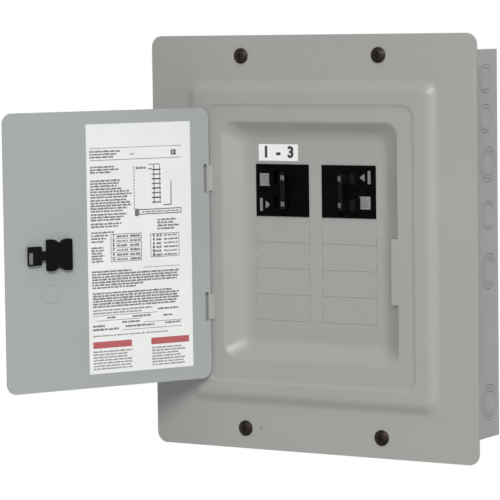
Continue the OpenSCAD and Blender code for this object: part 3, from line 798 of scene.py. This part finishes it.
@dataclass
class DirectorySheet:
    """Print of the circuit directory on the inside of the door: rules, figures, a diagram, text marks.

    Places on the sheet are millimetres to the right and down from the corner where reading starts.
    """

    swing: Matrix
    start_x: float = 23.4 * MM
    top_z: float = 119.45 * MM
    face_y: float = -97.95 * MM
    word: tuple[float, float] = (2.2, 7.0)
    stroke: tuple[float, float] = (0.5, 0.85)
    rises: tuple[float, ...] = (0.78, 0.78, 1.0)
    stroke_gap: float = 0.2
    word_gap: float = 0.7
    seed: int = 12
    body: str = "door"

    def mark(self, bm: Mesh, left: float, top: float, right: float, low: float, ink: int = 0) -> None:
        """Adds one printed bar.

        Args:
            bm: Mesh to add to.
            left: Left edge.
            top: Upper edge.
            right: Right edge.
            low: Lower edge.
            ink: Material number.
        """
        Workshop.bar(bm, (self.start_x - right * MM, self.face_y - 0.05 * MM, self.top_z - low * MM),
                     (self.start_x - left * MM, self.face_y + 0.03 * MM, self.top_z - top * MM),
                     ink, self.swing)

    def words(self, bm: Mesh, left: float, right: float, middle: float, tall: float = 1.3,
              ink: int = 0) -> None:
        """Adds a line of words, each a run of letter-wide strokes.

        Args:
            bm: Mesh to add to.
            left: Start of the line.
            right: End of the line.
            middle: Height of its middle.
            tall: Height of the tallest strokes.
            ink: Material number.
        """
        at, foot = left, middle + tall / 2
        while at < right - 0.8:
            end = min(right, at + self.dice.uniform(*self.word))
            while at < end - 0.3:
                wide = self.dice.uniform(*self.stroke)
                rise = tall * self.dice.choice(self.rises)
                self.mark(bm, at, foot - rise, min(end, at + wide), foot, ink)
                at += wide + self.stroke_gap
            at = end + self.word_gap

    def oblong(self, bm: Mesh, left: float, top: float, right: float, low: float, line: float) -> None:
        """Adds the outline of a rectangle.

        Args:
            bm: Mesh to add to.
            left: Left edge.
            top: Upper edge.
            right: Right edge.
            low: Lower edge.
            line: Width of the line.
        """
        self.mark(bm, left, top, right, top + line)
        self.mark(bm, left, low - line, right, low)
        self.mark(bm, left, top + line, left + line, low - line)
        self.mark(bm, right - line, top + line, right, low - line)

    def number(self, bm: Mesh, text: str, across: float, down: float, tall: float, bold: float) -> None:
        """Adds a plain number.

        Args:
            bm: Mesh to add to.
            text: Its figures.
            across: Middle of the number from the left.
            down: Middle of the number from the top.
            tall: Height of a figure.
            bold: Growth of its strokes.
        """
        spot = Matrix.Translation((self.start_x - across * MM, self.face_y, self.top_z - down * MM))
        turn = Matrix.Rotation(math.radians(180), 4, "Z") @ Matrix.Rotation(math.radians(90), 4, "X")
        Workshop.figures(bm, text, tall * MM, self.swing @ spot @ turn, 0, bold * MM)

    def lines(self, bm: Mesh, left: float, top: float, ends: Sequence[float], pitch: float = 2.6,
              tall: float = 1.9, ink: int = 0) -> None:
        """Adds a block of text lines.

        Args:
            bm: Mesh to add to.
            left: Start of the lines.
            top: Height of the first line's middle.
            ends: Where each line ends.
            pitch: Distance between lines.
            tall: Height of the tallest strokes.
            ink: Material number.
        """
        for row, end in enumerate(ends):
            self.words(bm, left, end, top + pitch * row, tall, ink)

    def heading(self, bm: Mesh) -> None:
        """Prints the two rules, the short lines between them and the number of spaces."""
        self.mark(bm, 3.5, 22.9, 105, 23.4, 1)
        self.mark(bm, 3.5, 34.3, 104, 34.9, 1)
        self.lines(bm, 3.5, 26.2, (38, 33, 30), 2.7, 1.8)
        self.words(bm, 47.5, 53, 29.6, 1.6, 1)
        self.number(bm, "12", 95.5, 29.6, 4.4, 0.5)

    def notes(self, bm: Mesh) -> None:
        """Prints the groups of lines beside the diagram."""
        groups = ((41.0, (30, 35, 27)), (54.2, (37, 35, 33)), (62.2, (38, 46, 49, 44)),
                  (73.0, (43, 47, 48, 44, 39)), (86.6, (43, 40, 36)), (95.6, (37, 34)))
        for top, ends in groups:
            self.lines(bm, 3.8, top, ends)

    def diagram(self, bm: Mesh) -> None:
        """Prints the ladder of spaces with its feed line and the bar under it."""
        for row in range(14):
            self.mark(bm, 51.2, 42 + 3.0 * row, 52.2, 43.9 + 3.0 * row, 1)
        self.words(bm, 54, 65, 43.4, 2.2)
        self.mark(bm, 68, 40, 80, 40.8, 1)
        self.mark(bm, 67.8, 44.2, 71.5, 45.2)
        self.mark(bm, 73.4, 40.8, 74.4, 78, 1)
        self.mark(bm, 80.0, 40.8, 80.8, 78, 1)
        for row in range(8):
            self.mark(bm, 71.4, 45 + 4.5 * row, 81.4, 46.3 + 4.5 * row, 1 if row % 2 else 0)
        self.mark(bm, 92.2, 57, 93.1, 80.2)
        self.mark(bm, 84, 79.6, 93.1, 80.5)
        self.oblong(bm, 56.4, 83.4, 104, 88.6, 0.8)
        self.words(bm, 60, 101, 86.0, 1.6, 1)
        self.mark(bm, 52.2, 82.8, 56.2, 90, 1)
        self.lines(bm, 77, 94.2, (98, 96, 101, 97), 2.9, 2.0)

    def tables(self, bm: Mesh) -> None:
        """Prints the two columns of numbered spaces."""
        self.lines(bm, 4, 103.8, (29, 22, 20, 17), 2.9)
        self.lines(bm, 4, 118.4, (17, 18, 16, 18, 15, 17))
        self.oblong(bm, 25, 106, 59, 132.8, 0.5)
        self.oblong(bm, 69, 107.6, 101, 130.4, 0.5)
        for row in range(6):
            low = 110.4 + 4.4 * row
            self.mark(bm, 25.4, low, 58.6, low + 0.4, 1)
            self.number(bm, str(2 * row + 1), 28.2, low - 2.1, 2.6, 0.25)
            self.words(bm, 31.5, 44, low - 2.1, 2.2, 1 if row % 2 else 0)
            self.words(bm, 46.5, 57.5, low - 2.1, 2.4)
            near = 111.3 + 3.75 * row
            self.number(bm, str(2 * row + 2), 72.6, near - 1.8, 2.4, 0.3)
            self.words(bm, 75.5, 82, near - 1.8, 2.4)
            self.words(bm, 84, 99.5, near - 1.8, 1.8, 0 if row % 2 else 1)

    def paragraphs(self, bm: Mesh) -> None:
        """Prints the full-width lines, the form under them and the coloured bars with their lines."""
        self.mark(bm, 61, 139.4, 101, 139.9, 1)
        self.lines(bm, 4, 141.4, (47, 100, 99, 100, 98, 60, 52), 2.55)
        self.lines(bm, 4.5, 162.2, (92, 100, 99, 100, 97, 96), 2.55)
        self.lines(bm, 4.5, 178.6, (70, 58), 2.7, 1.7, 1)
        self.words(bm, 76, 99, 180.6, 2.0)
        for top, left, right in ((183.6, 4, 75), (188.4, 8, 58), (192.5, 60, 103), (198.6, 36, 103)):
            self.mark(bm, left, top, right, top + 0.5, 1)
        for left, right, middle in ((20, 29, 186), (48, 68, 186.2), (82, 92, 187.2), (36, 56, 191.2),
                                    (84, 101, 194.6), (40, 72, 195.4)):
            self.words(bm, left, right, middle, 2.0)
        self.lines(bm, 4, 193.6, (17, 34), 3.4, 2.2)
        self.words(bm, 4, 88, 203.2, 1.4, 1)
        self.mark(bm, 4, 208.8, 46.5, 215.2, 2)
        self.mark(bm, 68, 208.8, 110.5, 215.2, 2)
        for left, reach in ((4, (39, 47)), (69, (96, 109))):
            ends = [self.dice.uniform(*reach) for row in range(7)]
            self.lines(bm, left, 218.4, ends, 2.75, 1.7, 1)

    def build(self) -> None:
        """Prints the sheet."""
        self.dice = random.Random(self.seed)
        bm = bmesh.new()
        for step in (self.heading, self.notes, self.diagram, self.tables, self.paragraphs):
            step(bm)
        Workshop.piece("directory_print", bm, self.body, "label_sheet", [Print.INK, Print.FAINT, Print.RED])


@dataclass
class Door:
    """Sheet door that stands open, with its directory sheet and latch."""

    open_deg: float = 117.0
    edge_r: float = 0.3 * MM
    grip_w: float = 26.4 * MM
    waist_w: float = 12 * MM
    notch_r: float = 3.0 * MM
    corner_r: float = 1.6 * MM
    mould_r: float = 0.5 * MM
    least_face: float = 3 * MM
    least_edge: float = 2.5 * MM
    least_ramp: float = 3e-5
    body: str = "door"

    def swing(self) -> Matrix:
        """Gives the turn from the closed to the open position."""
        joint = next(j for j in frame["joints"] if j["name"] == "door_swing")
        hinge = Matrix.Translation(Vector(joint["pos_m"]))
        return hinge @ Matrix.Rotation(-math.radians(self.open_deg), 4, "Z") @ hinge.inverted()

    def build(self) -> None:
        """Makes the rounded door and finishes its pieces."""
        bm = Workshop.copy_of("door_panel")
        Workshop.soften(bm, self.edge_r, Workshop.sharp(40), 2)
        # The door sheet takes the lighter, bluer paint copy that carries painted light.
        Workshop.piece("door_sheet", bm, self.body, "door_paint", [Steel.DOOR_WITH_PAINTED_LIGHT], "door_panel")
        Workshop.coat("hinge_pins", Metal.ZINC)
        Workshop.coat("door_label", Print.WHITE)
        DirectorySheet(self.swing()).build()
        for node in ("latch_slide", "latch_knob"):
            bm = Workshop.copy_of(node)
            if node == "latch_slide":
                Workshop.soften(bm, self.notch_r, self.corner(True), 5)
                Workshop.soften(bm, self.corner_r, self.corner(False), 4)
            Workshop.soften(bm, self.mould_r, Workshop.sharp(), 2)
            if node == "latch_slide":
                self.paint_ramp_highlight(bm)
            Workshop.piece(node + "_moulding", bm, "latch", "latch_plastic", [Plastic.LATCH, Plastic.RAMP_PAINTED_HIGHLIGHT],
                           node)

    def corner(self, waist: bool) -> Pick:
        """Gives a test for the upright corners of the latch, between faces wide enough to round.

        Args:
            waist: Whether the corners of the two notches are wanted, or all the others.

        Returns:
            The test for an edge.
        """
        shut = self.swing().inverted()
        outer = min((shut @ v.co).x for v in frame["nodes"]["latch_slide"].data.vertices)
        grip_x = outer + self.grip_w / 2

        def pick(e: Edge) -> bool:
            """Tests one edge."""
            ends = [shut @ v.co for v in e.verts]
            span = ends[1] - ends[0]
            wide = all(face.calc_area() / span.length > self.least_face for face in e.link_faces)
            upright = abs(span.normalized().y) > 0.99 and span.length > self.least_edge
            near = abs(ends[0].x - grip_x) < self.waist_w / 2
            return upright and wide and near == waist and Workshop.sharp()(e)
        return pick

    def paint_ramp_highlight(self, bm: Mesh) -> None:
        """Paints the outer half of the tongue's ramp light grey, a painted highlight where the ramp catches
        light.

        Args:
            bm: Mesh of the latch slide.
        """
        bm.normal_update()
        swing = self.swing()
        shut = swing.inverted()

        def on_ramp(face: bmesh.types.BMFace) -> bool:
            """Tests one face."""
            way = shut.to_3x3() @ face.normal
            sloped = abs(way.z) < 0.05 and 0.15 < way.x < 0.5 and way.y > 0.8
            return sloped and face.calc_area() > self.least_ramp
        ramp = [face for face in bm.faces if on_ramp(face)]
        middle = shut @ ramp[0].calc_center_median()
        edges = {e for face in ramp for e in face.edges}
        corners = {v for face in ramp for v in face.verts}
        bmesh.ops.bisect_plane(bm, geom=[*ramp, *edges, *corners], plane_co=swing @ middle,
                               plane_no=swing.to_3x3() @ Vector((1, 0, 0)))
        # Faces on the outer half of the ramp take the light grey painted highlight.
        for face in bm.faces:
            if on_ramp(face) and (shut @ face.calc_center_median()).x > middle.x:
                face.material_index = 1


@dataclass
class PhotoCamera:
    """Camera at the photograph's viewpoint."""

    lens: float = 203.44
    sensor: float = 36.0
    place: tuple[float, float, float] = (1.3570, -2.4385, 0.2116)
    yaw: float = 31.3005
    pitch: float = 4.5495
    roll: float = -0.7651

    def build(self) -> None:
        """Makes the camera and selects it."""
        yaw, pitch, roll = (math.radians(a) for a in (self.yaw, self.pitch, self.roll))
        ahead = Vector((-math.sin(yaw) * math.cos(pitch), math.cos(yaw) * math.cos(pitch), -math.sin(pitch)))
        right = Vector((math.cos(yaw), math.sin(yaw), 0))
        up = right.cross(ahead)
        right, up = (math.cos(roll) * right + math.sin(roll) * up,
                     -math.sin(roll) * right + math.cos(roll) * up)
        data = bpy.data.cameras.new("photo_camera")
        data.lens = self.lens
        data.sensor_width = self.sensor
        data.sensor_fit = "HORIZONTAL"
        data.clip_start = 0.05
        data.clip_end = 60.0
        camera = bpy.data.objects.new("photo_camera", data)
        axes = Matrix((right, up, -ahead)).transposed().to_4x4()
        camera.matrix_world = Matrix.Translation(self.place) @ axes
        bpy.context.scene.collection.objects.link(camera)
        bpy.context.scene.camera = camera


@dataclass(frozen=True)
class Lamp:
    """Square soft lamp."""

    name: str
    place: tuple[float, float, float]
    aim: tuple[float, float, float]
    size: float
    power: float
    colour: tuple[float, float, float]

    def build(self) -> None:
        """Hangs the lamp and turns it to its aim."""
        data = bpy.data.lights.new(self.name, "AREA")
        data.shape = "SQUARE"
        data.size = self.size
        data.energy = self.power
        data.color = self.colour
        obj = bpy.data.objects.new(self.name, data)
        turn = (Vector(self.aim) - Vector(self.place)).to_track_quat("-Z", "Y")
        obj.matrix_world = Matrix.Translation(self.place) @ turn.to_matrix().to_4x4()
        bpy.context.scene.collection.objects.link(obj)


@dataclass
class Studio:
    """Pale floor, white surround and soft lamps."""

    floor_z: float = -2.2
    floor_r: float = 3.4
    ambient: float = 0.27
    ambient_tint: tuple[float, float, float, float] = (0.97, 0.985, 1.0, 1.0)
    lamps: tuple[Lamp, ...] = (
        Lamp("key", (1.31, -2.37, 1.23), (1.2, -2.1, -1.25), 1.6, 99, (1.0, 0.99, 0.97)),
        Lamp("fill", (1.62, -2.62, 0.05), (0.1, -0.1, 0.0), 0.7, 6, (0.88, 0.94, 1.0)),
        Lamp("top", (0.2, -0.9, 2.2), (0.0, -0.1, 0.0), 1.0, 9, (1.0, 1.0, 1.0)),
        Lamp("back", (-1.7, 2.3, 1.3), (0.0, 0.0, 0.0), 1.6, 22, (1.0, 0.99, 0.98)),
    )

    def build(self) -> None:
        """Makes the surround, the floor and the lamps."""
        bpy.context.scene.view_settings.view_transform = "Standard"
        self.surround()
        self.floor()
        for lamp in self.lamps:
            lamp.build()

    def surround(self) -> None:
        """Makes a surround that is white to look at and softer as a light."""
        world = bpy.data.worlds.new("surround")
        bpy.context.scene.world = world
        world.use_nodes = True
        tree = world.node_tree
        tree.nodes.clear()
        out = tree.nodes.new("ShaderNodeOutputWorld")
        mix = tree.nodes.new("ShaderNodeMixShader")
        soft = tree.nodes.new("ShaderNodeBackground")
        soft.inputs["Color"].default_value = self.ambient_tint
        soft.inputs["Strength"].default_value = self.ambient
        white = tree.nodes.new("ShaderNodeBackground")
        white.inputs["Color"].default_value = (1, 1, 1, 1)
        white.inputs["Strength"].default_value = 1.0
        rays = tree.nodes.new("ShaderNodeLightPath")
        seen = rays.outputs["Is Camera Ray"]
        for name in ("Is Glossy Ray", "Is Transmission Ray"):
            most = tree.nodes.new("ShaderNodeMath")
            most.operation = "MAXIMUM"
            tree.links.new(seen, most.inputs[0])
            tree.links.new(rays.outputs[name], most.inputs[1])
            seen = most.outputs[0]
        tree.links.new(seen, mix.inputs["Fac"])
        tree.links.new(soft.outputs[0], mix.inputs[1])
        tree.links.new(white.outputs[0], mix.inputs[2])
        tree.links.new(mix.outputs[0], out.inputs["Surface"])

    def floor(self) -> None:
        """Makes the floor."""
        bm = bmesh.new()
        bmesh.ops.create_circle(bm, cap_ends=True, segments=64, radius=self.floor_r,
                                matrix=Matrix.Translation((0, 0, self.floor_z)))
        mesh = bpy.data.meshes.new("floor")
        bm.to_mesh(mesh)
        bm.free()
        mesh.materials.append(SheetFinish("pale_floor", (246, 246, 246), 0.8).material())
        obj = bpy.data.objects.new("floor", mesh)
        bpy.context.scene.collection.objects.link(obj)


def main() -> None:
    """Builds the sub-assemblies in order."""
    logging.basicConfig(level=logging.INFO, format="%(name)s: %(message)s")
    PhotoCamera().build()
    Studio().build()
    SteelBox().dress()
    DrawnCover().build()
    Breaker("main", -1).dress()
    Breaker("branch", 1).dress()
    Interior().dress()
    Door().build()


if __name__ == "__main__":
    main()
